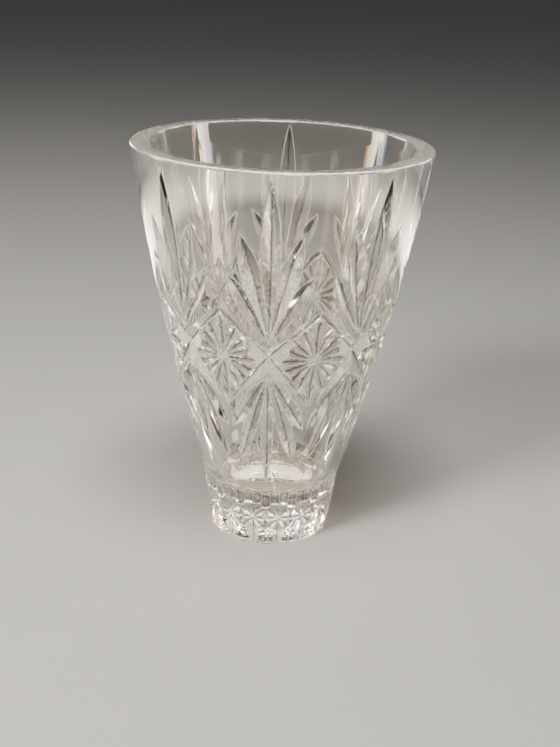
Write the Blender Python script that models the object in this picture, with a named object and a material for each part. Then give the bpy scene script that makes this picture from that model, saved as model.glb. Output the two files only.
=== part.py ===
"""Cut crystal vase: one closed body of heavy clear glass, standing on its foot.

The frame has its origin at the centre of the underside, with +Z up the axis. A motif of the cutting
faces -Y. Heights and widths are in metres, and azimuths are in degrees from a motif's centre line.
"""

import math

import bmesh
import bpy
from mathutils import Vector
from mathutils.geometry import delaunay_2d_cdt

MM = 0.001

# Turned form
HEIGHT = 250.0 * MM
RIM_RADIUS = 90.1 * MM
WALL = 12.0 * MM
RIM_BEVEL = 0.8 * MM
FOOT_HEIGHT = 38.5 * MM
WAIST_RADIUS = 44.4 * MM
CONE_BULGE = 3.4 * MM
FOOT_TOP_RADIUS = 44.1 * MM
BASE_RADIUS = 39.4 * MM
BASE_BEVEL = 0.8 * MM

# Hollow
FLOOR_HEIGHT = 33.5 * MM
FLOOR_RADIUS = 22.0 * MM
FLOOR_FILLET = 14.0 * MM
FILLET_STEPS = 4
INNER_HEIGHTS = [80.0 * MM, 115.0 * MM, 155.0 * MM, 200.0 * MM]

# Cutting pattern: MOTIFS equal motifs, each the mirror image of itself
MOTIFS = 8
HALF_MOTIF = 180.0 / MOTIFS
COLUMNS_PER_HALF = 4
COLUMN_STEP = HALF_MOTIF / COLUMNS_PER_HALF

CROSS_HEIGHT = 140.5 * MM
DIAMOND_BOTTOM = 106.5 * MM
DIAMOND_TOP = 167.5 * MM
UPPER_APEX = 149.0 * MM
LOWER_APEX = 128.0 * MM
DAISY_HEIGHT = 138.0 * MM
DAISY_PETALS = 16
DAISY_RADIUS = 18.5 * MM
PETAL_HALF_WIDTH = 2.0 * MM
PETAL_DEPTH = 1.4 * MM
PETAL_BELLY = 0.6

# Leaves of the fans, up and down: azimuth and height of the tip, half width, depth, share of the length
# where the leaf is widest
UPPER_LEAVES = [
    (0.0, 244.0 * MM, 5.0 * MM, 2.8 * MM, 0.45),
    (12.0, 215.0 * MM, 4.8 * MM, 2.6 * MM, 0.6),
    (17.8, 191.0 * MM, 3.8 * MM, 2.2 * MM, 0.6),
]
LOWER_LEAVES = [
    (0.0, 51.0 * MM, 3.4 * MM, 2.1 * MM, 0.5),
    (17.2, 67.0 * MM, 3.8 * MM, 2.3 * MM, 0.6),
    (21.2, 90.5 * MM, 4.2 * MM, 2.4 * MM, 0.6),
]

# Arms of the cross, at the cross and at the end: width of the bevel, width of the steep side, depth
LOWER_ARM = [(7.4 * MM, 2.1 * MM, 2.6 * MM), (0.0, 0.0, 0.0)]
UPPER_ARM = [(4.4 * MM, 1.8 * MM, 2.3 * MM), (2.6 * MM, 1.1 * MM, 1.4 * MM)]

# Foot: one flat panel to each half motif with a star on it, and three flutes above it
FLUTES_PER_PANEL = 3
FLUTE_LENGTH = 10.5 * MM
FLUTE_HALF_WIDTH = 2.2 * MM
FLUTE_DEPTH = 1.1 * MM
FLUTE_BELLY = 0.5
FLUTE_GAP = 1.0 * MM
PANEL_CUSP = 27.0 * MM
PANEL_ARCH = 29.8 * MM
PANEL_LEDGE = 0.5 * MM
STAR_HEIGHT = 20.0 * MM
STAR_RAYS = 8
RAY_UP = 7.6 * MM
RAY_DOWN = 11.0 * MM
RAY_SPREAD = 0.85
RAY_HALF_WIDTH = 1.5 * MM
RAY_DEPTH = 0.9 * MM
RAY_BELLY = 0.6

# Underside: a flat ring to stand on, with a shallow hollow inside it
RESTING_RING = 31.0 * MM
HOLLOW_RINGS = [(24.0 * MM, 0.6 * MM), (12.0 * MM, 1.4 * MM)]
HOLLOW_DEPTH = 1.6 * MM

# Mesh
GRID_HEIGHTS = [h * MM for h in (6, 14, 22, 48, 60, 72, 86, 100, 116, 128, 160, 184, 200, 216, 232)]
GRID_CLEARANCE = 2.2 * MM
NARROWEST = 1e-7
PARALLEL = 1e-12
ON_EDGE = 1e-9
SHORTEST_SHARE = 1e-6
CROSSING_DISTANCE = 1e-6
MERGE_DISTANCE = 2e-6
SHARP_ANGLE = 12.0

# Glass
COLOUR = (0.93, 0.94, 0.93, 1.0)
ROUGHNESS = 0.02
IOR = 1.54


def cone_radius(height):
    """Outer radius above the foot: a straight cone with a slight swell."""
    t = (height - FOOT_HEIGHT) / (HEIGHT - FOOT_HEIGHT)
    return WAIST_RADIUS + (RIM_RADIUS - WAIST_RADIUS) * t + CONE_BULGE * 4.0 * t * (1.0 - t)


def foot_radius(height):
    return BASE_RADIUS + (FOOT_TOP_RADIUS - BASE_RADIUS) * height / FOOT_HEIGHT


def arch_height(azimuth):
    """Top of a foot panel: lowest at the panel's corners, highest at its middle."""
    across = 1.0 - abs(azimuth / (0.5 * HALF_MOTIF) - 1.0)
    return PANEL_CUSP + (PANEL_ARCH - PANEL_CUSP) * math.sin(0.5 * math.pi * across)


def blank_radius(azimuth, height):
    """Radius of the body before the grooves are cut, with the foot's flat panels."""
    if height >= FOOT_HEIGHT:
        return cone_radius(height)
    radius = foot_radius(height)
    if height > arch_height(azimuth) + 0.5 * PANEL_LEDGE:
        return radius
    off_middle = math.radians(azimuth - 0.5 * HALF_MOTIF)
    return radius * math.cos(math.radians(0.5 * HALF_MOTIF)) / math.cos(off_middle)


class Cut:
    """A V-groove on the outside, in the (azimuth, height) plane.

    Its stations are (share of the length, width to the left, width to the right, depth).
    """

    def __init__(self, start, tip, stations):
        self.start = start
        self.tip = tip
        self.stations = stations
        mean_height = 0.5 * (start[1] + tip[1])
        self.scale = math.radians(1.0) * blank_radius(0.0, mean_height)
        run = Vector(((tip[0] - start[0]) * self.scale, tip[1] - start[1]))
        self.length = run.length
        self.along = run / self.length
        self.left = Vector((-self.along.y, self.along.x))

    def point(self, share, side):
        """Azimuth and height of a point at a share of the length, side metres to the left."""
        offset = self.along * (share * self.length) + self.left * side
        return (self.start[0] + offset.x / self.scale, self.start[1] + offset.y)

    def edges(self):
        """The groove's valley, outline and cross lines, as pairs of points."""
        rows = [
            (self.point(t, left), self.point(t, 0.0), self.point(t, -right))
            for t, left, right, _ in self.stations
        ]
        pairs = [(a[i], b[i]) for a, b in zip(rows, rows[1:]) for i in range(3)]
        return pairs + [(row[i], row[i + 1]) for row in rows for i in range(2)]

    def depth(self, azimuth, height):
        local = Vector(((azimuth - self.start[0]) * self.scale, height - self.start[1]))
        share = local.dot(self.along) / self.length
        side = local.dot(self.left)
        for (t0, l0, r0, d0), (t1, l1, r1, d1) in zip(self.stations, self.stations[1:]):
            if t0 <= share <= t1:
                mix = (share - t0) / (t1 - t0)
                left = l0 + (l1 - l0) * mix
                right = r0 + (r1 - r0) * mix
                width = left if side > 0.0 else right
                if width < NARROWEST or abs(side) >= width:
                    return 0.0
                return (d0 + (d1 - d0) * mix) * (1.0 - abs(side) / width)
        return 0.0


def leaf(start, tip, half_width, depth, belly):
    """A pointed leaf: nothing at both ends and widest at the belly."""
    stations = [(0.0, 0.0, 0.0, 0.0), (belly, half_width, half_width, depth), (1.0, 0.0, 0.0, 0.0)]
    return Cut(start, tip, stations)


def fans():
    """Five leaves fan up from the cross and five fan down; the middle ones lie on the centre line."""
    cuts = []
    for apex, leaves in ((UPPER_APEX, UPPER_LEAVES), (LOWER_APEX, LOWER_LEAVES)):
        for azimuth, height, half_width, depth, belly in leaves:
            cuts.append(leaf((0.0, apex), (azimuth, height), half_width, depth, belly))
    return cuts


def bands():
    """The two arms that cross the motif: a steep side to the diamond and a wide bevel away from it."""
    cross = (0.0, CROSS_HEIGHT)
    down = [(float(k), steep, wide, depth) for k, (wide, steep, depth) in enumerate(LOWER_ARM)]
    up = [(float(k), wide, steep, depth) for k, (wide, steep, depth) in enumerate(UPPER_ARM)]
    return [
        Cut(cross, (HALF_MOTIF, DIAMOND_BOTTOM), down),
        Cut(cross, (HALF_MOTIF, DIAMOND_TOP), up),
    ]


def daisy():
    """The left half of the flower in each diamond, its centre on the line between two motifs."""
    scale = math.radians(1.0) * cone_radius(DAISY_HEIGHT)
    petals = []
    for k in range(DAISY_PETALS // 2 + 1):
        turn = 2.0 * math.pi * k / DAISY_PETALS
        start = (HALF_MOTIF, DAISY_HEIGHT)
        tip = (
            HALF_MOTIF - DAISY_RADIUS * math.sin(turn) / scale,
            DAISY_HEIGHT + DAISY_RADIUS * math.cos(turn),
        )
        petals.append(leaf(start, tip, PETAL_HALF_WIDTH, PETAL_DEPTH, PETAL_BELLY))
    return petals


def foot_cuts():
    """Three short flutes above each panel, and a star on the panel. One flute stands over each corner."""
    flute_step = HALF_MOTIF / FLUTES_PER_PANEL
    cuts = []
    for k in range(FLUTES_PER_PANEL + 1):
        azimuth = k * flute_step
        bottom = arch_height(azimuth) + FLUTE_GAP
        top = bottom + FLUTE_LENGTH
        cuts.append(leaf((azimuth, top), (azimuth, bottom), FLUTE_HALF_WIDTH, FLUTE_DEPTH, FLUTE_BELLY))
    middle = 0.5 * HALF_MOTIF
    scale = math.radians(1.0) * foot_radius(STAR_HEIGHT)
    for k in range(STAR_RAYS):
        turn = 2.0 * math.pi * (k + 0.5) / STAR_RAYS
        rise = math.cos(turn)
        reach = RAY_UP if rise > 0.0 else RAY_DOWN
        tip = (middle + reach * RAY_SPREAD * math.sin(turn) / scale, STAR_HEIGHT + reach * rise)
        cuts.append(leaf((middle, STAR_HEIGHT), tip, RAY_HALF_WIDTH, RAY_DEPTH, RAY_BELLY))
    return cuts


def clip(a, b, low, high):
    """The part of segment ab inside the half motif between two heights, or None."""
    t0, t1 = 0.0, 1.0
    limits = ((0, 0.0, HALF_MOTIF), (1, low, high))
    for axis, least, most in limits:
        step = b[axis] - a[axis]
        if abs(step) < PARALLEL:
            if not least - ON_EDGE <= a[axis] <= most + ON_EDGE:
                return None
            continue
        enter, leave = sorted(((least - a[axis]) / step, (most - a[axis]) / step))
        t0, t1 = max(t0, enter), min(t1, leave)
    if t1 - t0 < SHORTEST_SHARE:
        return None
    ends = []
    for t in (t0, t1):
        azimuth = min(max(a[0] + (b[0] - a[0]) * t, 0.0), HALF_MOTIF)
        ends.append((azimuth, min(max(a[1] + (b[1] - a[1]) * t, low), high)))
    return tuple(ends)


def segment_distance(point, a, b):
    """Distance in the plane, with azimuth already turned into metres."""
    run = b - a
    if run.length_squared == 0.0:
        return (point - a).length
    t = min(max((point - a).dot(run) / run.length_squared, 0.0), 1.0)
    return (point - a - run * t).length


def plane_mesh(cuts, low, high):
    """Triangles of the half motif in the (azimuth, height) plane, with every crease as an edge."""
    flat = math.radians(1.0) * cone_radius(0.5 * HEIGHT)
    columns = [k * COLUMN_STEP for k in range(COLUMNS_PER_HALF + 1)]
    segments = []
    for cut in cuts:
        segments += [piece for a, b in cut.edges() if (piece := clip(a, b, low, high))]
    for height in (low, high, FOOT_HEIGHT):
        segments += [((a, height), (b, height)) for a, b in zip(columns, columns[1:])]
    for gap in (0.0, PANEL_LEDGE):
        segments += [
            ((a, arch_height(a) + gap), (b, arch_height(b) + gap)) for a, b in zip(columns, columns[1:])
        ]
    segments += [((0.0, low), (0.0, high)), ((HALF_MOTIF, low), (HALF_MOTIF, high))]
    flat_segments = [(Vector((a[0] * flat, a[1])), Vector((b[0] * flat, b[1]))) for a, b in segments]
    inner_segments = flat_segments[:-2]
    points = [p for pair in flat_segments for p in pair]
    edges = [(2 * k, 2 * k + 1) for k in range(len(flat_segments))]
    for height in GRID_HEIGHTS:
        for azimuth in columns:
            point = Vector((azimuth * flat, height))
            if min(segment_distance(point, a, b) for a, b in inner_segments) > GRID_CLEARANCE:
                points.append(point)
    found = delaunay_2d_cdt(points, edges, [], 0, CROSSING_DISTANCE, False)
    verts = [(v.x / flat, v.y) for v in found[0]]
    return verts, found[2]


def outer_wall(mesh, cuts, low, high):
    """The cut outside, as sixteen mirrored halves of a motif."""
    verts, faces = plane_mesh(cuts, low, high)
    radii = [blank_radius(a, h) - max(cut.depth(a, h) for cut in cuts) for a, h in verts]
    for motif in range(MOTIFS):
        for side in (1.0, -1.0):
            made = []
            for (azimuth, height), radius in zip(verts, radii):
                turn = math.radians(side * azimuth + motif * 2.0 * HALF_MOTIF)
                made.append(mesh.verts.new((radius * math.sin(turn), -radius * math.cos(turn), height)))
            for face in faces:
                mesh.faces.new([made[k] for k in (face if side > 0.0 else face[::-1])])


def ring(mesh, radius, height):
    """A ring of vertices on the columns; radius and height are functions of the column's azimuth."""
    count = 2 * MOTIFS * COLUMNS_PER_HALF
    made = []
    for k in range(count):
        azimuth = k * COLUMN_STEP
        turn = math.radians(azimuth)
        r = radius(azimuth % HALF_MOTIF)
        made.append(mesh.verts.new((r * math.sin(turn), -r * math.cos(turn), height(azimuth % HALF_MOTIF))))
    return made


def bridge(mesh, lower, upper):
    """Quads between two rings; the first ring is the one below on an outward face."""
    count = len(lower)
    for k in range(count):
        n = (k + 1) % count
        mesh.faces.new((lower[k], lower[n], upper[n], upper[k]))


def constant(value):
    return lambda azimuth: value


def rim_and_hollow(mesh, outer_top):
    """Rings from the outer top edge over the flat rim, down the inside, to the middle of the floor."""
    inner = RIM_RADIUS - WALL
    path = [(RIM_RADIUS - RIM_BEVEL, HEIGHT), (inner + RIM_BEVEL, HEIGHT), (inner, HEIGHT - RIM_BEVEL)]
    path += [(cone_radius(h) - WALL, h) for h in reversed(INNER_HEIGHTS)]
    fillet_top = FLOOR_HEIGHT + FLOOR_FILLET
    fillet_width = cone_radius(fillet_top) - WALL - FLOOR_RADIUS
    for k in range(FILLET_STEPS + 1):
        turn = 0.5 * math.pi * k / FILLET_STEPS
        radius = FLOOR_RADIUS + fillet_width * math.cos(turn)
        path.append((radius, fillet_top - FLOOR_FILLET * math.sin(turn)))
    rings = [outer_top] + [ring(mesh, constant(r), constant(h)) for r, h in path]
    for below, above in zip(rings, rings[1:]):
        bridge(mesh, below, above)
    centre = mesh.verts.new((0.0, 0.0, FLOOR_HEIGHT))
    last = rings[-1]
    for k, vert in enumerate(last):
        mesh.faces.new((vert, last[(k + 1) % len(last)], centre))


def underside(mesh, outer_bottom):
    """The flat resting ring and the shallow hollow inside it."""

    def rim(azimuth):
        return blank_radius(azimuth, 0.0) - BASE_BEVEL

    rings = [outer_bottom, ring(mesh, rim, constant(0.0)), ring(mesh, constant(RESTING_RING), constant(0.0))]
    rings += [ring(mesh, constant(radius), constant(depth)) for radius, depth in HOLLOW_RINGS]
    for outer, inner in zip(rings, rings[1:]):
        bridge(mesh, inner, outer)
    centre = mesh.verts.new((0.0, 0.0, HOLLOW_DEPTH))
    last = rings[-1]
    for k, vert in enumerate(last):
        mesh.faces.new((last[(k + 1) % len(last)], vert, centre))


def glass():
    material = bpy.data.materials.new("crystal")
    material.use_nodes = True
    shader = material.node_tree.nodes["Principled BSDF"]
    shader.inputs["Base Color"].default_value = COLOUR
    shader.inputs["Roughness"].default_value = ROUGHNESS
    shader.inputs["Metallic"].default_value = 0.0
    shader.inputs["IOR"].default_value = IOR
    shader.inputs["Transmission Weight"].default_value = 1.0
    return material


def crystal_body():
    low, high = BASE_BEVEL, HEIGHT - RIM_BEVEL
    cuts = fans() + bands() + daisy() + foot_cuts()
    mesh = bmesh.new()
    outer_wall(mesh, cuts, low, high)
    outer_top = ring(mesh, lambda azimuth: blank_radius(azimuth, high), constant(high))
    outer_bottom = ring(mesh, lambda azimuth: blank_radius(azimuth, low), constant(low))
    rim_and_hollow(mesh, outer_top)
    underside(mesh, outer_bottom)
    bmesh.ops.remove_doubles(mesh, verts=mesh.verts, dist=MERGE_DISTANCE)
    bmesh.ops.dissolve_degenerate(mesh, dist=0.5 * MERGE_DISTANCE, edges=mesh.edges)
    bmesh.ops.triangulate(mesh, faces=mesh.faces)
    data = bpy.data.meshes.new("crystal_body")
    mesh.to_mesh(data)
    mesh.free()
    data.materials.append(glass())
    data.shade_smooth()
    data.set_sharp_from_angle(angle=math.radians(SHARP_ANGLE))
    body = bpy.data.objects.new("crystal_body", data)
    bpy.context.scene.collection.objects.link(body)
    return body


for old in list(bpy.data.objects):
    bpy.data.objects.remove(old, do_unlink=True)

crystal_body()
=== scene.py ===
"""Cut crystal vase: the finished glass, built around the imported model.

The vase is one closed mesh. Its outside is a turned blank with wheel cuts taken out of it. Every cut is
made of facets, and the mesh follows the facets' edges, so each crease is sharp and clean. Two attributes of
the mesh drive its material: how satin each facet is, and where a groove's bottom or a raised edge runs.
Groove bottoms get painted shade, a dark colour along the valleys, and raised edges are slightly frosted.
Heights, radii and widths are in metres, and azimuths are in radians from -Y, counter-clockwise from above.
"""

import math

import bpy
import numpy as np
from mathutils import Matrix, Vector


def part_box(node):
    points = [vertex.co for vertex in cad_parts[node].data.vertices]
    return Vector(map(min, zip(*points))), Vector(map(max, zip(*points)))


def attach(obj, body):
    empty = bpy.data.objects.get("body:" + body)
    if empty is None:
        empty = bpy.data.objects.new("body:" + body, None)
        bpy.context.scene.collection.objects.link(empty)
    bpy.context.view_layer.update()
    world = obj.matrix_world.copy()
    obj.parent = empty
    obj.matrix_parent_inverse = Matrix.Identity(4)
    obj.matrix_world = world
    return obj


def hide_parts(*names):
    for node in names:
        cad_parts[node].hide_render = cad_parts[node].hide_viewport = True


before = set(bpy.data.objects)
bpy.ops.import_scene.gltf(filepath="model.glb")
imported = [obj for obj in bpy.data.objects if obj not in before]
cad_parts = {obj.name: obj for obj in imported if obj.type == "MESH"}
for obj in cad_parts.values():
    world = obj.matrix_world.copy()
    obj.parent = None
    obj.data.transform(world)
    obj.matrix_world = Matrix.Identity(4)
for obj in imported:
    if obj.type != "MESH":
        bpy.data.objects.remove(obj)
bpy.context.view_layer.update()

MM = 0.001
DEG = math.pi / 180.0

# ---------------------------------------------------------------- turned form
HIGH_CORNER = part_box("crystal_body")[1]
HEIGHT = HIGH_CORNER[2]
RIM_RADIUS = HIGH_CORNER[0] + 0.1 * MM
WALL = 12.0 * MM
FOOT_HEIGHT = 38.5 * MM
CONE_FOOT_RADIUS = 44.4 * MM
CONE_BULGE = 3.4 * MM
FOOT_TOP_RADIUS = 44.1 * MM
BASE_RADIUS = 39.4 * MM
RIM_ROUND = 0.9 * MM
BASE_ROUND = 0.8 * MM
RESTING_RADIUS = 33.0 * MM
HOLLOW_RADIUS = 31.0 * MM
HOLLOW_DEPTH = 1.6 * MM
FLOOR_HEIGHT = 33.5 * MM
FLOOR_RADIUS = 22.0 * MM
FLOOR_FILLET = 14.0 * MM
FLOOR_DISH = 0.4 * MM
FLOOR_DISH_HALFWAY = 0.3 * MM
WAVINESS = 0.05 * MM

# ---------------------------------------------------------------- cutting pattern
MOTIFS = 8
MOTIF = 2.0 * math.pi / MOTIFS
HALF = 0.5 * MOTIF
CROSS_HEIGHT = 140.5 * MM
DIAMOND_BOTTOM = 106.5 * MM
DIAMOND_TOP = 167.5 * MM
UPPER_APEX = 149.0 * MM
LOWER_APEX = 128.0 * MM

# Half of each fan's leaves: degrees off its middle, height of the tip and half width in mm, and belly
UPPER_LEAVES = [(0.0, 246.0, 5.6, 0.3), (12.0, 216.0, 5.9, 2.0), (18.0, 192.0, 4.6, 2.0)]
LOWER_LEAVES = [(0.0, 50.0, 3.6, 0.8), (17.2, 66.0, 4.2, 2.0), (21.2, 89.5, 4.7, 2.0)]
UPPER_LEAF_SLOPE = 0.6
LOWER_LEAF_SLOPE = 0.68

# Arms of the cross: depth at the cross, its change along the arm, and the slope of the wide bevel
LOWER_ARM = (3.2 * MM, -2.9 * MM, 0.42)
UPPER_ARM = (2.5 * MM, -1.1 * MM, 0.62)
STEEP = 1.4

DAISY_HEIGHT = 138.0 * MM
DAISY_PETALS = 16
PETAL_REACH = 21.5 * MM
UPRIGHT_PETAL_EXTRA = 6.0 * MM
PETAL_HALF_WIDTH = 3.0 * MM
PETAL_SLOPE = 0.58
PETAL_BELLY = 1.6

PANELS = 16
PANEL = 2.0 * math.pi / PANELS
PANEL_SHARE = 0.999 * math.cos(0.5 * PANEL)
PANEL_TOP = 27.0 * MM
PANEL_SPAN = (-5.0 * MM, 36.0 * MM)
PANEL_REACH = 0.62 * PANEL
WIDEST_TURN = 0.6
WHEEL_RADIUS = 9.5 * MM

STAR_HEIGHT = 20.0 * MM
STAR_RAYS = 8
RAY_UP = 8.5 * MM
RAY_DOWN = 20.0 * MM
RAY_ACROSS = 8.0 * MM
RAY_SLOPE = 0.34
# Half width of a ray in mm: the least, and what each mm of its length adds
RAY_HALF_WIDTH, RAY_WIDENING = 2.0, 0.09

WINDOWS = 3
WINDOW_TOP = 40.8 * MM
CORNER_WINDOW_DROP = 2.2 * MM
WINDOW_SILL = 0.3 * MM
WINDOW_HALF_FLOOR = 1.85 * MM
WINDOW_DEPTH = 1.25 * MM
WINDOW_SLOPE = 0.9
CORNER_DEPTH, CORNER_ACROSS, CORNER_UP = 0.9, 0.6, 0.7
LEDGE_SLOPE = 1.3

# Spread of the hand cutting: turn and rise of a leaf's start and tip, and share of its width
START_TURN, START_RISE = 0.0008, 0.08 * MM
TIP_TURN, TIP_RISE = 0.002, 0.25 * MM
WIDTH_SPREAD = 0.02

# ---------------------------------------------------------------- mesh density
COLUMNS = 432
INNER_COLUMNS = 216
ROW_BANDS = [(0.0, 46.0, 50), (46.0, 100.0, 46), (100.0, 185.0, 80), (185.0, 250.0, 28)]
SNAP_STEPS = 5
SNAP_REACH = 0.48
PROBE = 0.01 * MM
CUT_MARGIN = 1.5 * MM
ROW_MARGIN = 2.5 * MM
SHARP_ANGLE = 20.0 * DEG
RIM_STEPS = 3
BASE_STEPS = 2
WALL_RINGS = 16
WALL_MARGIN = 6.0 * MM
FILLET_RINGS = 7
UNDERSIDE_RINGS = 14

# ---------------------------------------------------------------- finish: roughness, frosted ridges and painted shade in valleys
POLISHED, CUT, PETAL, SATIN, BAND, GROUND, WORN = 0.0, 0.03, 0.06, 0.18, 0.18, 0.1, 0.3
RIDGE_FINISH = 0.27
RIDGE_START = 0.3
# Crease strength at which the painted shade along valleys begins
VALLEY_SHADE_START = 0.12
CREASE_GAIN = 1.5
FULL_FINISH_DEPTH = 0.3 * MM
FROST = 1.9
GLASS_IOR = 1.55
GLASS_TINT = (1.0, 0.982, 0.945, 1.0)
# Painted shade: the dark base colour painted along groove bottoms
VALLEY_PAINTED_SHADE = (0.1, 0.1, 0.09, 1.0)
GRIT_SCALE = 420.0
GRIT_SPREAD = (0.4, 1.6)
GRIT_RELIEF = 0.001

# ---------------------------------------------------------------- studio and view
FLOOR_SIZE = 60.0
FLOOR_DROP = 0.2 * MM
FLOOR_TINT = (0.64, 0.635, 0.62, 1.0)
WORLD_TINT = (0.062, 0.062, 0.063, 1.0)
LAMP_TINT = (1.0, 0.9, 0.74)
WARM_FRINGE = (1.0, 0.42, 0.08)
COLD_FRINGE = (0.1, 0.35, 1.0)
FRINGE = 0.03
AIM = (0.0, 0.0, 0.12)
SHEEN = 6.0
RING_RADIUS = 0.455
RING_TOP = 0.105
RING_PEAK = 0.3
RING_STEPS = 128
FILL = 0.13
SENSOR = 36.0
LENS = 53.01
VIEW_DISTANCE = 2.6128 * HEIGHT
VIEW_LEVEL = 1.4689 * HEIGHT
VIEW_AROUND = 3.0 * DEG
VIEW_HEADING = (0.322 - 3.0) * DEG
VIEW_PITCH = 22.022 * DEG
VIEW_ROLL = 2.278 * DEG

rng = np.random.default_rng(11)


def cone_radius(height):
    """Outer radius above the foot: a straight cone with a slight swell."""
    t = (height - FOOT_HEIGHT) / (HEIGHT - FOOT_HEIGHT)
    return CONE_FOOT_RADIUS + (RIM_RADIUS - CONE_FOOT_RADIUS) * t + CONE_BULGE * 4.0 * t * (1.0 - t)


def foot_radius(height):
    """Outer radius of the foot, a plain cone."""
    return BASE_RADIUS + (FOOT_TOP_RADIUS - BASE_RADIUS) * height / FOOT_HEIGHT


def blank_radius(height):
    """Radius of the turned body before cutting, for numbers and arrays alike."""
    height = np.asarray(height, dtype=float)
    return np.where(height >= FOOT_HEIGHT, cone_radius(height), foot_radius(height))


# ---------------------------------------------------------------- facets and cuts
# A groove facet's depth is a cubic in the share t of its cut's length, less a slope times the distance to
# the left. A panel facet is a flat face on the foot, which runs out upwards as the wheel leaves it.
# A panel groove is a groove measured from such a flat face.
(AZIMUTH, LEVEL, SCALE, ALONG_X, ALONG_Y, LENGTH, C0, C1, C2, C3, SLOPE, KIND, FINISH) = range(13)
GROOVE, FLAT, FLAT_GROOVE = 0.0, 1.0, 2.0
facets = [[0.0, 0.0, 1.0, 1.0, 0.0, 1.0, 0.0, 0.0, 0.0, 0.0, 0.0, GROOVE, POLISHED]]
cuts = []


def cubic(terms, t):
    """Value of a cubic, with its constant term first."""
    return terms[0] + t * (terms[1] + t * (terms[2] + t * terms[3]))


def plane(azimuth, level, depth, across, up):
    """A facet of even slope: depth at a place, and what it gains per metre across and up."""
    scale = float(blank_radius(level))
    return [azimuth, level, scale, 1.0, 0.0, 1.0, depth, across, 0.0, 0.0, -up, GROOVE, CUT]


def add_cut(start, tip, depths, slope_left, slope_right, extra=(), kind=GROOVE, finish=(CUT, CUT)):
    """A V-groove from start to tip. depths are the cubic's terms along its valley."""
    scale = float(blank_radius(0.5 * (start[1] + tip[1])))
    run = np.array([(tip[0] - start[0]) * scale, tip[1] - start[1]])
    length = float(np.hypot(*run))
    base = [start[0], start[1], scale, run[0] / length, run[1] / length, length]
    first = len(facets)
    facets.append(base + list(depths) + [slope_left, kind, finish[0]])
    facets.append(base + list(depths) + [-slope_right, kind, finish[1]])
    facets.extend(extra)
    deepest = max(cubic(depths, t) for t in np.linspace(0.0, 1.0, 9))
    reach = deepest / min(slope_left, slope_right) + CUT_MARGIN
    lows = (min(start[0], tip[0]) - reach / scale, min(start[1], tip[1]) - reach)
    highs = (max(start[0], tip[0]) + reach / scale, max(start[1], tip[1]) + reach)
    cuts.append((list(range(first, len(facets))), lows, highs))


def leaf(start, tip, half_width, slope, belly=1.0, kind=GROOVE, finish=CUT):
    """A pointed leaf, nothing at both ends. A belly over 0 moves its widest place towards the tip."""
    shape = np.array([0.0, 1.0, belly - 1.0, -belly])
    peak = max(cubic(shape, t) for t in np.linspace(0.0, 1.0, 101))
    wobble = rng.normal(0.0, 1.0, 5)
    start = (start[0] + START_TURN * wobble[0], start[1] + START_RISE * wobble[1])
    tip = (tip[0] + TIP_TURN * wobble[2], tip[1] + TIP_RISE * wobble[3])
    half_width *= 1.0 + WIDTH_SPREAD * wobble[4]
    add_cut(start, tip, shape / peak * half_width * slope, slope, slope, (), kind, (finish, finish))


def fan(centre):
    """Five leaves up from the cross and five down, the outer ones in mirrored pairs."""
    for apex, slope, leaves in (
        (UPPER_APEX, UPPER_LEAF_SLOPE, UPPER_LEAVES),
        (LOWER_APEX, LOWER_LEAF_SLOPE, LOWER_LEAVES),
    ):
        for side, height, width, belly in leaves:
            for turn in (side, -side) if side else (side,):
                leaf((centre, apex), (centre + turn * DEG, height * MM), width * MM, slope, belly)


def arms(centre):
    """Four arms of the cross, each steep towards its diamond and a wide bevel away from it."""
    start = (centre, CROSS_HEIGHT)
    for side in (1.0, -1.0):
        depth, change, wide = LOWER_ARM
        slopes = (STEEP, wide) if side > 0.0 else (wide, STEEP)
        finish = (CUT, BAND) if side > 0.0 else (BAND, CUT)
        tip = (centre + side * HALF, DIAMOND_BOTTOM)
        stop = plane(centre, CROSS_HEIGHT, depth, -side * STEEP, -STEEP)
        add_cut(start, tip, [depth, change, 0.0, 0.0], *slopes, [stop], GROOVE, finish)
        depth, change, wide = UPPER_ARM
        slopes = (wide, STEEP) if side > 0.0 else (STEEP, wide)
        finish = (BAND, CUT) if side > 0.0 else (CUT, BAND)
        tip = (centre + side * HALF, DIAMOND_TOP)
        lean = math.cos(math.atan2(DIAMOND_TOP - CROSS_HEIGHT, HALF * float(blank_radius(CROSS_HEIGHT))))
        stop = plane(centre, CROSS_HEIGHT, depth, side * STEEP, STEEP)
        mitre = plane(*tip, depth + change, -side * STEEP, -wide * lean)
        add_cut(start, tip, [depth, change, 0.0, 0.0], *slopes, [stop, mitre], GROOVE, finish)


def daisy(centre):
    """A flower of pointed petals in a diamond, longest straight up and down."""
    scale = float(blank_radius(DAISY_HEIGHT))
    for k in range(DAISY_PETALS):
        turn = 2.0 * math.pi * k / DAISY_PETALS
        reach = PETAL_REACH + UPRIGHT_PETAL_EXTRA * abs(math.cos(turn)) ** 6
        tip = (centre + reach * math.sin(turn) / scale, DAISY_HEIGHT + reach * math.cos(turn))
        leaf((centre, DAISY_HEIGHT), tip, PETAL_HALF_WIDTH, PETAL_SLOPE, PETAL_BELLY, GROOVE, PETAL)


def panel_depth(turn, height):
    """Depth of a panel's flat face, which the wheel leaves on an arc above PANEL_TOP."""
    flat = foot_radius(height) * (1.0 - PANEL_SHARE / np.cos(np.clip(turn, -WIDEST_TURN, WIDEST_TURN)))
    run_out = np.maximum(0.0, height - PANEL_TOP)
    return flat - run_out * run_out / (2.0 * WHEEL_RADIUS)


def arch_height(turn):
    """How high a panel's flat face reaches, at a place beside the panel's middle."""
    return PANEL_TOP + math.sqrt(2.0 * WHEEL_RADIUS * float(panel_depth(turn, PANEL_TOP)))


def foot_panel(middle):
    """One flat face of the foot."""
    first = len(facets)
    facets.append([middle, 0.0, 1.0, 1.0, 0.0, 1.0, 0.0, 0.0, 0.0, 0.0, 0.0, FLAT, POLISHED])
    low, high = PANEL_SPAN
    cuts.append(([first], (middle - PANEL_REACH, low), (middle + PANEL_REACH, high)))


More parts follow.
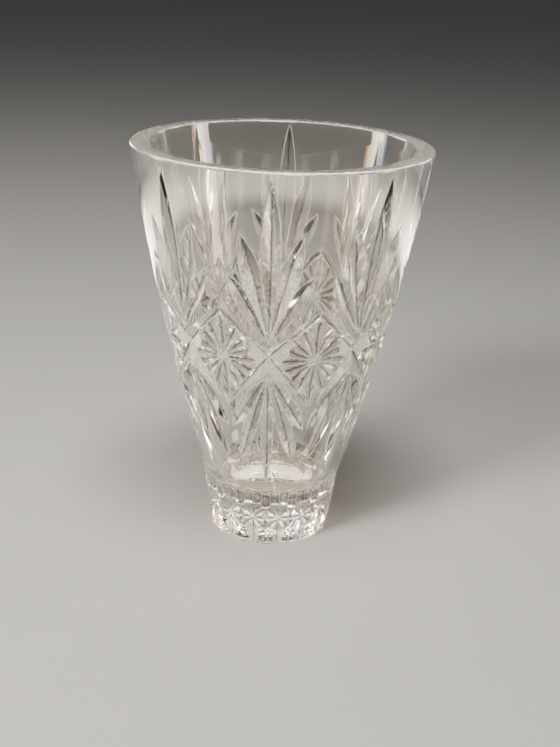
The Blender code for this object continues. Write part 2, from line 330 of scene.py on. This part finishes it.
def star(middle):
    """Rays from the panel's middle to its edges, long ones downwards."""
    scale = float(blank_radius(STAR_HEIGHT))
    for k in range(STAR_RAYS):
        turn = 2.0 * math.pi * k / STAR_RAYS
        across, rise = math.sin(turn), math.cos(turn)
        tall = RAY_UP if rise > 0.0 else RAY_DOWN
        reach = min(RAY_ACROSS / max(abs(across), 1e-3), tall / max(abs(rise), 1e-3))
        tip = (middle + reach * across / scale, STAR_HEIGHT + reach * rise)
        half_width = (RAY_HALF_WIDTH + RAY_WIDENING * reach / MM) * MM
        leaf((middle, STAR_HEIGHT), tip, half_width, RAY_SLOPE, 1.0, FLAT_GROOVE, SATIN)


def window(azimuth, sill, top):
    """An upright flute: a flat floor, two sloping walls, a rounded lower end and a ledge at the top."""
    half_floor, slope = WINDOW_HALF_FLOOR, WINDOW_SLOPE
    first = len(facets)
    facets.append(plane(azimuth, sill, WINDOW_DEPTH, 0.0, 0.0))
    for side in (1.0, -1.0):
        facets.append(plane(azimuth, sill, WINDOW_DEPTH + slope * half_floor, -side * slope, 0.0))
        corner = (CORNER_DEPTH * slope * half_floor, -CORNER_ACROSS * side * slope, CORNER_UP * slope)
        facets.append(plane(azimuth, sill, *corner))
    facets.append(plane(azimuth, sill, 0.0, 0.0, slope))
    facets.append(plane(azimuth, top, 0.0, 0.0, -LEDGE_SLOPE))
    reach = (half_floor + WINDOW_DEPTH / slope) / float(blank_radius(sill))
    cuts.append((list(range(first, len(facets))), (azimuth - reach, sill), (azimuth + reach, top)))


def foot(panel):
    """A flat panel with a star on it, and upright flutes above it; one flute stands over each corner."""
    middle = (panel + 0.5) * PANEL
    foot_panel(middle)
    star(middle)
    for k in range(WINDOWS):
        turn = (k - 0.5 * WINDOWS) * PANEL / WINDOWS
        top = WINDOW_TOP - (CORNER_WINDOW_DROP if k == 0 else 0.0)
        window(middle + turn, arch_height(turn) + WINDOW_SILL, top)


def facet_depth(which, azimuth, height):
    """Depth of facets at each place. which is one facet's number, or an array with one for each place."""
    row = facet_table[which]
    turn = np.mod(azimuth - row[..., AZIMUTH] + math.pi, 2.0 * math.pi) - math.pi
    x = turn * row[..., SCALE]
    y = height - row[..., LEVEL]
    t = np.clip((x * row[..., ALONG_X] + y * row[..., ALONG_Y]) / row[..., LENGTH], -0.5, 1.5)
    side = y * row[..., ALONG_X] - x * row[..., ALONG_Y]
    groove = cubic([row[..., k] for k in (C0, C1, C2, C3)], t) - row[..., SLOPE] * side
    kind = row[..., KIND]
    middle = (np.floor(row[..., AZIMUTH] / PANEL) + 0.5) * PANEL
    from_middle = np.mod(azimuth - middle + math.pi, 2.0 * math.pi) - math.pi
    flat = np.where(kind > GROOVE, panel_depth(from_middle, height), 0.0)
    return np.where(kind == FLAT, flat, flat + groove)


def survey(azimuths, heights, column_azimuths, row_heights):
    """The deepest cut at each place of a grid, and the facet that makes it."""
    depth = np.zeros(azimuths.shape)
    label = np.zeros(azimuths.shape, dtype=int)
    spacing = 2.0 * math.pi / COLUMNS
    for own, lows, highs in cuts:
        first = int(math.floor((lows[0] - column_azimuths[0]) / spacing)) - 1
        last = int(math.ceil((highs[0] - column_azimuths[0]) / spacing)) + 1
        columns = np.arange(first, last + 1) % COLUMNS
        near = (row_heights >= lows[1] - ROW_MARGIN) & (row_heights <= highs[1] + ROW_MARGIN)
        patch = np.ix_(np.nonzero(near)[0], columns)
        each = np.stack([facet_depth(k, azimuths[patch], heights[patch]) for k in own])
        value = each.min(axis=0)
        better = value > depth[patch]
        depth[patch] = np.where(better, value, depth[patch])
        label[patch] = np.where(better, np.asarray(own)[each.argmin(axis=0)], label[patch])
    return depth, label


# ---------------------------------------------------------------- the outside as a grid that follows creases
def corner_rows():
    """Heights of the grid's corners, closest where the cuts are finest."""
    rows = [np.linspace(low, high, count, endpoint=False) for low, high, count in ROW_BANDS]
    return np.append(np.concatenate(rows), ROW_BANDS[-1][1]) * MM


def outside_vertices():
    """One vertex to each cell of the grid, moved onto any crease that crosses the cell.

    Gives each vertex's place, depth and facet, and its crease: over 0 in a valley and under 0 on a ridge.
    The material paints shade into the valleys and frosts the ridges by it.
    """
    spacing = 2.0 * math.pi / COLUMNS
    corner_azimuths = (np.arange(COLUMNS) - 0.5) * spacing
    corner_heights = corner_rows()
    azimuths, heights = np.meshgrid(corner_azimuths, corner_heights)
    label = survey(azimuths, heights, corner_azimuths, corner_heights)[1]
    right = np.roll(label, -1, axis=1)
    labels = np.stack([label[:-1], right[:-1], label[1:], right[1:]])
    cell_azimuths = np.arange(COLUMNS) * spacing
    cell_heights = 0.5 * (corner_heights[:-1] + corner_heights[1:])
    azimuth, height = np.meshgrid(cell_azimuths, cell_heights)
    row_step = np.repeat(np.diff(corner_heights)[:, None], COLUMNS, axis=1)
    found = np.nonzero((labels != labels[0]).any(axis=0))
    own = labels[:, found[0], found[1]]
    crease = np.zeros(azimuth.shape)
    places = (azimuth[found], height[found])
    azimuth[found], height[found], turned = snapped(*places, own, spacing, row_step[found])
    valley = (cut_of_facet[own] == cut_of_facet[own[0]]).all(axis=0)
    # The crease is the mask for the painted shade in valleys and for the frost on ridges
    crease[found] = np.clip(CREASE_GAIN * turned, 0.0, 1.0) * np.where(valley, 1.0, -1.0)
    height[0, :] = BASE_ROUND
    height[-1, :] = HEIGHT - RIM_ROUND
    azimuth[0, :] = azimuth[-1, :] = cell_azimuths
    depth, label = survey(azimuth, height, cell_azimuths, cell_heights)
    return azimuth, height, depth, label, crease


def snapped(azimuth, height, labels, spacing, row_step):
    """Moves each vertex to where the facets at its cell's corners are equally deep, within the cell.

    Gives the new places and how sharply the surface turns there.
    """
    centre_a, centre_h = azimuth.copy(), height.copy()
    radius = blank_radius(centre_h)
    for _ in range(SNAP_STEPS):
        here = np.stack([facet_depth(k, azimuth, height) for k in labels])
        across = np.stack([facet_depth(k, azimuth + PROBE / radius, height) for k in labels])
        upward = np.stack([facet_depth(k, azimuth, height + PROBE) for k in labels])
        gap = here[1:] - here[0]
        gx = (across[1:] - across[0] - gap) / PROBE
        gy = (upward[1:] - upward[0] - gap) / PROBE
        xx, yy, xy = (gx * gx).sum(0) + 1e-3, (gy * gy).sum(0) + 1e-3, (gx * gy).sum(0)
        bx, by = -(gx * gap).sum(0), -(gy * gap).sum(0)
        det = xx * yy - xy * xy
        azimuth = azimuth + (yy * bx - xy * by) / det / radius
        height = height + (xx * by - xy * bx) / det
        azimuth = np.clip(azimuth, centre_a - SNAP_REACH * spacing, centre_a + SNAP_REACH * spacing)
        height = np.clip(height, centre_h - SNAP_REACH * row_step, centre_h + SNAP_REACH * row_step)
    return azimuth, height, np.hypot(gx, gy).max(axis=0)


class Skin:
    """Vertices and faces collected ring by ring, with the finish and crease of each vertex."""

    def __init__(self):
        self.points = []
        self.faces = []
        self.finish = []
        self.crease = []

    def ring(self, azimuths, radii, heights, finish, crease=0.0):
        """Adds a ring of vertices and gives their numbers."""
        first = len(self.points)
        across, along = radii * np.sin(azimuths), -radii * np.cos(azimuths)
        heights = np.broadcast_to(heights, azimuths.shape)
        self.points += zip(across.tolist(), along.tolist(), heights.tolist())
        self.finish += np.broadcast_to(finish, azimuths.shape).tolist()
        self.crease += np.broadcast_to(crease, azimuths.shape).tolist()
        return list(range(first, first + len(azimuths)))

    def bridge(self, lower, upper):
        """Quads between two rings of one length, outward when upper follows lower up the outside."""
        count = len(lower)
        for k in range(count):
            n = (k + 1) % count
            self.faces.append((lower[k], lower[n], upper[n], upper[k]))

    def halve(self, fine, coarse):
        """Joins a ring to one with half as many vertices, with the coarse one as the upper ring."""
        count = len(coarse)
        for k in range(count):
            a, b, c = fine[2 * k], fine[2 * k + 1], fine[(2 * k + 2) % len(fine)]
            low, high = coarse[k], coarse[(k + 1) % count]
            self.faces += [(a, b, low), (b, high, low), (b, c, high)]

    def cap(self, ring, centre):
        """Closes a ring with triangles to one polished point."""
        self.points.append(centre)
        self.finish.append(POLISHED)
        self.crease.append(0.0)
        last = len(self.points) - 1
        for k in range(len(ring)):
            self.faces.append((ring[k], ring[(k + 1) % len(ring)], last))


def inner_wave(azimuth, height):
    """Slight waviness of the inside, which was shaped against a plunger and never ground."""
    wave = np.sin(5.0 * azimuth + 1.1 + 9.0 * height) + 0.7 * np.sin(11.0 * azimuth - 14.0 * height)
    return WAVINESS * (wave + 0.5 * np.sin(23.0 * azimuth + 2.0))


def ring_azimuths(count):
    """Azimuths of an even ring of vertices."""
    return np.arange(count) * 2.0 * math.pi / count


def quarter_turn(steps):
    """Even angles up to a right angle, without the first at 0."""
    return [0.5 * math.pi * k / steps for k in range(1, steps + 1)]


def vase_mesh():
    """The whole vase as one closed mesh, with its finish and crease as attributes."""
    skin = Skin()
    azimuth, height, depth, label, crease = outside_vertices()
    radius = blank_radius(height) - depth
    finish = facet_table[label, FINISH] * np.clip(depth / FULL_FINISH_DEPTH, 0.0, 1.0)
    rows = [skin.ring(azimuth[k], radius[k], height[k], finish[k], crease[k]) for k in range(len(azimuth))]
    for below, above in zip(rows, rows[1:]):
        skin.bridge(below, above)
    rim_and_hollow(skin, rows[-1])
    underside(skin, rows[0], radius[0])
    data = bpy.data.meshes.new("crystal_glass")
    data.from_pydata(skin.points, [], skin.faces)
    data.validate()
    for name, values in (("finish", skin.finish), ("crease", skin.crease)):
        data.attributes.new(name, "FLOAT", "POINT").data.foreach_set("value", values)
    data.shade_smooth()
    data.set_sharp_from_angle(angle=SHARP_ANGLE)
    return data


def rim_and_hollow(skin, outer_top):
    """Over the flat ground rim and down the inside to the middle of the floor."""
    full, half = ring_azimuths(COLUMNS), ring_azimuths(INNER_COLUMNS)
    inner = RIM_RADIUS - WALL
    last = outer_top
    for turn in quarter_turn(RIM_STEPS):
        radius = cone_radius(HEIGHT - RIM_ROUND) - RIM_ROUND * (1.0 - math.cos(turn))
        ring = skin.ring(full, radius, HEIGHT - RIM_ROUND * (1.0 - math.sin(turn)), GROUND)
        skin.bridge(last, ring)
        last = ring
    ring = skin.ring(half, inner + RIM_ROUND, HEIGHT, GROUND)
    skin.halve(last, ring)
    last = ring
    path = []
    for turn in quarter_turn(RIM_STEPS):
        radius = inner + RIM_ROUND * (1.0 - math.sin(turn))
        path.append((radius, HEIGHT - RIM_ROUND * (1.0 - math.cos(turn)), 0.0))
    fillet_top = FLOOR_HEIGHT + FLOOR_FILLET
    for level in np.linspace(HEIGHT - WALL_MARGIN, fillet_top + WALL_MARGIN, WALL_RINGS):
        path.append((cone_radius(level) - WALL, level, 1.0))
    fillet_width = cone_radius(fillet_top) - WALL - FLOOR_RADIUS
    for turn in np.linspace(0.0, 0.5 * math.pi, FILLET_RINGS):
        radius = FLOOR_RADIUS + fillet_width * math.cos(turn)
        path.append((radius, fillet_top - FLOOR_FILLET * math.sin(turn), math.cos(turn)))
    path.append((0.5 * FLOOR_RADIUS, FLOOR_HEIGHT - FLOOR_DISH_HALFWAY, 0.0))
    for radius, level, waves in path:
        ring = skin.ring(half, radius + waves * inner_wave(half, level), level, POLISHED)
        skin.bridge(last, ring)
        last = ring
    skin.cap(last, (0.0, 0.0, FLOOR_HEIGHT - FLOOR_DISH))


def underside(skin, outer_bottom, radii):
    """The rounded lower edge, the flat resting ring, and a shallow polished hollow inside it."""
    full, half = ring_azimuths(COLUMNS), ring_azimuths(INNER_COLUMNS)
    last = outer_bottom
    for turn in quarter_turn(BASE_STEPS):
        inward, level = BASE_ROUND * (1.0 - math.cos(turn)), BASE_ROUND * (1.0 - math.sin(turn))
        ring = skin.ring(full, radii - inward, level, GROUND)
        skin.bridge(ring, last)
        last = ring
    ring = skin.ring(half, RESTING_RADIUS, 0.0, WORN)
    for k in range(INNER_COLUMNS):
        a, b, c = last[2 * k], last[2 * k + 1], last[(2 * k + 2) % COLUMNS]
        low, high = ring[k], ring[(k + 1) % INNER_COLUMNS]
        skin.faces += [(b, a, low), (high, b, low), (c, b, high)]
    last = ring
    for turn in np.linspace(0.0, 0.5 * math.pi, UNDERSIDE_RINGS)[:-1]:
        ring = skin.ring(half, HOLLOW_RADIUS * math.cos(turn), HOLLOW_DEPTH * math.sin(turn) ** 2, POLISHED)
        skin.bridge(ring, last)
        last = ring
    skin.cap(last[::-1], (0.0, 0.0, HOLLOW_DEPTH))


# ---------------------------------------------------------------- materials
def maths(tree, operation, *values):
    """The output of a Math node. Each value is a number or another node's output."""
    node = tree.nodes.new("ShaderNodeMath")
    node.operation = operation
    for socket, value in zip(node.inputs, values):
        if isinstance(value, float):
            socket.default_value = value
        else:
            tree.links.new(value, socket)
    return node.outputs[0]


def attribute(tree, name):
    """The output of a mesh attribute, read as a number."""
    node = tree.nodes.new("ShaderNodeAttribute")
    node.attribute_name = name
    return node.outputs["Fac"]


def mapped(tree, value, old, new):
    """A value carried from one range to another and held inside the new one."""
    node = tree.nodes.new("ShaderNodeMapRange")
    node.inputs["From Min"].default_value, node.inputs["From Max"].default_value = old
    node.inputs["To Min"].default_value, node.inputs["To Max"].default_value = new
    tree.links.new(value, node.inputs["Value"])
    return node.outputs["Result"]


def crystal_material():
    """Clear glass whose cuts are satin, with painted shade darkening the valleys and slightly frosted
    ridges.
    """
    material = bpy.data.materials.new("cut_crystal")
    material.use_nodes = True
    tree = material.node_tree
    shader = tree.nodes["Principled BSDF"]
    shader.inputs["IOR"].default_value = GLASS_IOR
    finish, crease = attribute(tree, "finish"), attribute(tree, "crease")
    # Painted shade: the base colour turns dark along the valleys
    shade = tree.nodes.new("ShaderNodeValToRGB")
    shade.color_ramp.elements[0].position = VALLEY_SHADE_START
    shade.color_ramp.elements[0].color = GLASS_TINT
    shade.color_ramp.elements[1].color = VALLEY_PAINTED_SHADE
    tree.links.new(crease, shade.inputs["Fac"])
    tree.links.new(shade.outputs["Color"], shader.inputs["Base Color"])
    place = tree.nodes.new("ShaderNodeTexCoord")
    grit = tree.nodes.new("ShaderNodeTexNoise")
    grit.inputs["Scale"].default_value = GRIT_SCALE
    grit.inputs["Detail"].default_value = 4.0
    tree.links.new(place.outputs["Object"], grit.inputs["Vector"])
    ridge = mapped(tree, crease, (-RIDGE_START, -1.0), (0.0, RIDGE_FINISH))
    uneven = mapped(tree, grit.outputs["Fac"], (0.0, 1.0), GRIT_SPREAD)
    rough = maths(tree, "MULTIPLY", maths(tree, "MAXIMUM", finish, ridge), uneven)
    tree.links.new(rough, shader.inputs["Roughness"])
    tree.links.new(maths(tree, "MULTIPLY_ADD", rough, -FROST, 1.0), shader.inputs["Transmission Weight"])
    bump = tree.nodes.new("ShaderNodeBump")
    bump.inputs["Distance"].default_value = GRIT_RELIEF
    tree.links.new(finish, bump.inputs["Strength"])
    tree.links.new(grit.outputs["Fac"], bump.inputs["Height"])
    tree.links.new(bump.outputs["Normal"], shader.inputs["Normal"])
    return material


def floor_material():
    """Plain, pale and matt."""
    material = bpy.data.materials.new("studio_floor")
    material.use_nodes = True
    shader = material.node_tree.nodes["Principled BSDF"]
    shader.inputs["Base Color"].default_value = FLOOR_TINT
    shader.inputs["Roughness"].default_value = 0.8
    shader.inputs["Specular IOR Level"].default_value = 0.0
    return material


# ---------------------------------------------------------------- studio
def studio():
    """A pale floor, two soft lamps, panels that only the glass shows, and a faint fill from above."""
    bpy.ops.mesh.primitive_plane_add(size=FLOOR_SIZE, location=(0.0, 0.0, -FLOOR_DROP))
    floor = bpy.context.object
    floor.name = "studio_floor"
    floor.data.materials.append(floor_material())
    world = bpy.data.worlds.new("studio")
    bpy.context.scene.world = world
    world.use_nodes = True
    world.node_tree.nodes["Background"].inputs["Color"].default_value = WORLD_TINT
    # name, place, width and height, power, colour
    area_light("key", (-0.85, -1.0, 1.1), (0.45, 0.45), 14.0, (1.0, 0.96, 0.9))
    area_light("overhead", (0.05, -0.35, 1.5), (0.5, 0.5), 10.0, (1.0, 0.97, 0.93))
    # name, place, width and height, radiance
    for name, place, size, radiance in (
        ("left_panel", (-1.1, 0.1, 0.6), (0.3, 1.1), 11.0),
        ("right_panel", (1.1, -0.1, 0.6), (0.25, 1.1), 11.0),
        ("back_left_panel", (-0.7, 1.1, 0.7), (0.25, 0.9), 12.0),
        ("back_right_panel", (0.8, 1.0, 0.7), (0.25, 0.9), 12.0),
        ("front_panel", (0.3, -1.3, 1.1), (0.9, 0.3), 11.0),
        ("back_high_panel", (0.05, 1.5, 0.95), (1.3, 0.22), 6.0),
    ):
        power = radiance * math.pi * size[0] * size[1]
        panel = area_light(name, place, size, power, LAMP_TINT)
        panel.visible_diffuse = False
        if size[1] > size[0]:
            fringes(name, place, size, radiance)
    sheen_ring()
    fill = bpy.data.lights.new("fill", "SUN")
    fill.energy = FILL
    fill.angle = 90.0 * DEG
    light = bpy.data.objects.new("fill", fill)
    bpy.context.scene.collection.objects.link(light)
    view = bpy.context.scene.view_settings
    view.view_transform = "AgX"
    view.look = "AgX - High Contrast"


def fringes(name, place, size, radiance):
    """Thin coloured strips beside an upright panel, which give the glass its small rainbow glints."""
    outward = np.array([place[0], place[1], 0.0])
    side = np.cross(outward / np.linalg.norm(outward), (0.0, 0.0, 1.0))
    for tag, way, colour in (("warm", -1.0, WARM_FRINGE), ("cold", 1.0, COLD_FRINGE)):
        centre = np.array(place) + way * (0.5 * size[0] + 0.5 * FRINGE) * side
        power = radiance * math.pi * FRINGE * size[1]
        strip = area_light(name + "_" + tag, tuple(centre), (FRINGE, size[1]), power, colour)
        strip.visible_diffuse = strip.visible_glossy = False


def sheen_ring():
    """A low glowing ring around the vase that only reflections see; it fades out at both edges."""
    turns = np.linspace(0.0, 2.0 * math.pi, RING_STEPS + 1)[:-1]
    points = []
    for level in (0.0, RING_TOP):
        points += [(RING_RADIUS * math.sin(t), -RING_RADIUS * math.cos(t), level) for t in turns]
    faces = []
    for k in range(RING_STEPS):
        n = (k + 1) % RING_STEPS
        faces.append((k, n, RING_STEPS + n, RING_STEPS + k))
    data = bpy.data.meshes.new("sheen_ring")
    data.from_pydata(points, [], faces)
    data.materials.append(glow_material())
    ring = bpy.data.objects.new("sheen_ring", data)
    bpy.context.scene.collection.objects.link(ring)
    ring.visible_camera = ring.visible_diffuse = ring.visible_transmission = ring.visible_shadow = False


def glow_material():
    """Light that is nothing at the ring's two edges and brightest a third of the way up."""
    material = bpy.data.materials.new("sheen_ring")
    material.use_nodes = True
    tree = material.node_tree
    shader = tree.nodes["Principled BSDF"]
    shader.inputs["Base Color"].default_value = (0.0, 0.0, 0.0, 1.0)
    shader.inputs["Emission Strength"].default_value = SHEEN
    place = tree.nodes.new("ShaderNodeTexCoord")
    split = tree.nodes.new("ShaderNodeSeparateXYZ")
    tree.links.new(place.outputs["Object"], split.inputs["Vector"])
    fade = tree.nodes.new("ShaderNodeValToRGB")
    fade.color_ramp.interpolation = "EASE"
    fade.color_ramp.elements[0].color = (0.0, 0.0, 0.0, 1.0)
    fade.color_ramp.elements[1].color = (0.0, 0.0, 0.0, 1.0)
    fade.color_ramp.elements.new(RING_PEAK).color = (*LAMP_TINT, 1.0)
    tree.links.new(maths(tree, "DIVIDE", split.outputs["Z"], RING_TOP), fade.inputs["Fac"])
    tree.links.new(fade.outputs["Color"], shader.inputs["Emission Color"])
    return material


def area_light(name, place, size, power, colour):
    """A rectangular lamp that faces the vase and is not seen itself."""
    data = bpy.data.lights.new(name, "AREA")
    data.shape = "RECTANGLE"
    data.size, data.size_y = size
    data.energy = power
    data.color = colour
    light = bpy.data.objects.new(name, data)
    bpy.context.scene.collection.objects.link(light)
    light.location = place
    light.visible_camera = False
    turn_to(light, np.array(AIM) - np.array(place), 0.0)
    return light


def turn_to(thing, forward, roll):
    """Points an object's -Z along forward, then rolls it."""
    forward = np.array(forward) / np.linalg.norm(forward)
    right = np.cross(forward, (0.0, 0.0, 1.0))
    right = right / np.linalg.norm(right)
    up = np.cross(right, forward)
    side = math.cos(roll) * right + math.sin(roll) * up
    top = -math.sin(roll) * right + math.cos(roll) * up
    basis = np.stack([side, top, -forward], axis=1)
    thing.rotation_euler = Matrix(basis.tolist()).to_euler()


def camera():
    """The photograph's view: a little above the rim, looking down at the vase, with a slight roll."""
    data = bpy.data.cameras.new("view")
    data.sensor_fit = "VERTICAL"
    data.sensor_height = SENSOR
    data.lens = LENS
    eye = bpy.data.objects.new("view", data)
    bpy.context.scene.collection.objects.link(eye)
    across, back = VIEW_DISTANCE * math.sin(VIEW_AROUND), VIEW_DISTANCE * math.cos(VIEW_AROUND)
    eye.location = (across, -back, VIEW_LEVEL)
    level = math.cos(VIEW_PITCH)
    forward = (math.sin(VIEW_HEADING) * level, math.cos(VIEW_HEADING) * level, -math.sin(VIEW_PITCH))
    turn_to(eye, forward, VIEW_ROLL)
    bpy.context.scene.camera = eye


# ---------------------------------------------------------------- the making
for motif in range(MOTIFS):
    arms(motif * MOTIF)
    fan(motif * MOTIF)
    daisy((motif + 0.5) * MOTIF)
for panel in range(PANELS):
    foot(panel)
facet_table = np.array(facets)
cut_of_facet = np.zeros(len(facets), dtype=int)
for number, (own, *_) in enumerate(cuts, 1):
    cut_of_facet[own] = number

vase = bpy.data.objects.new("crystal_glass", vase_mesh())
bpy.context.scene.collection.objects.link(vase)
vase.data.materials.append(crystal_material())
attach(vase, "root")
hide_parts("crystal_body")

# Light crosses many facets inside the glass
cycles = bpy.context.scene.cycles
cycles.max_bounces = 32
cycles.transmission_bounces = 32
cycles.glossy_bounces = 12
cycles.transparent_max_bounces = 32

studio()
camera()
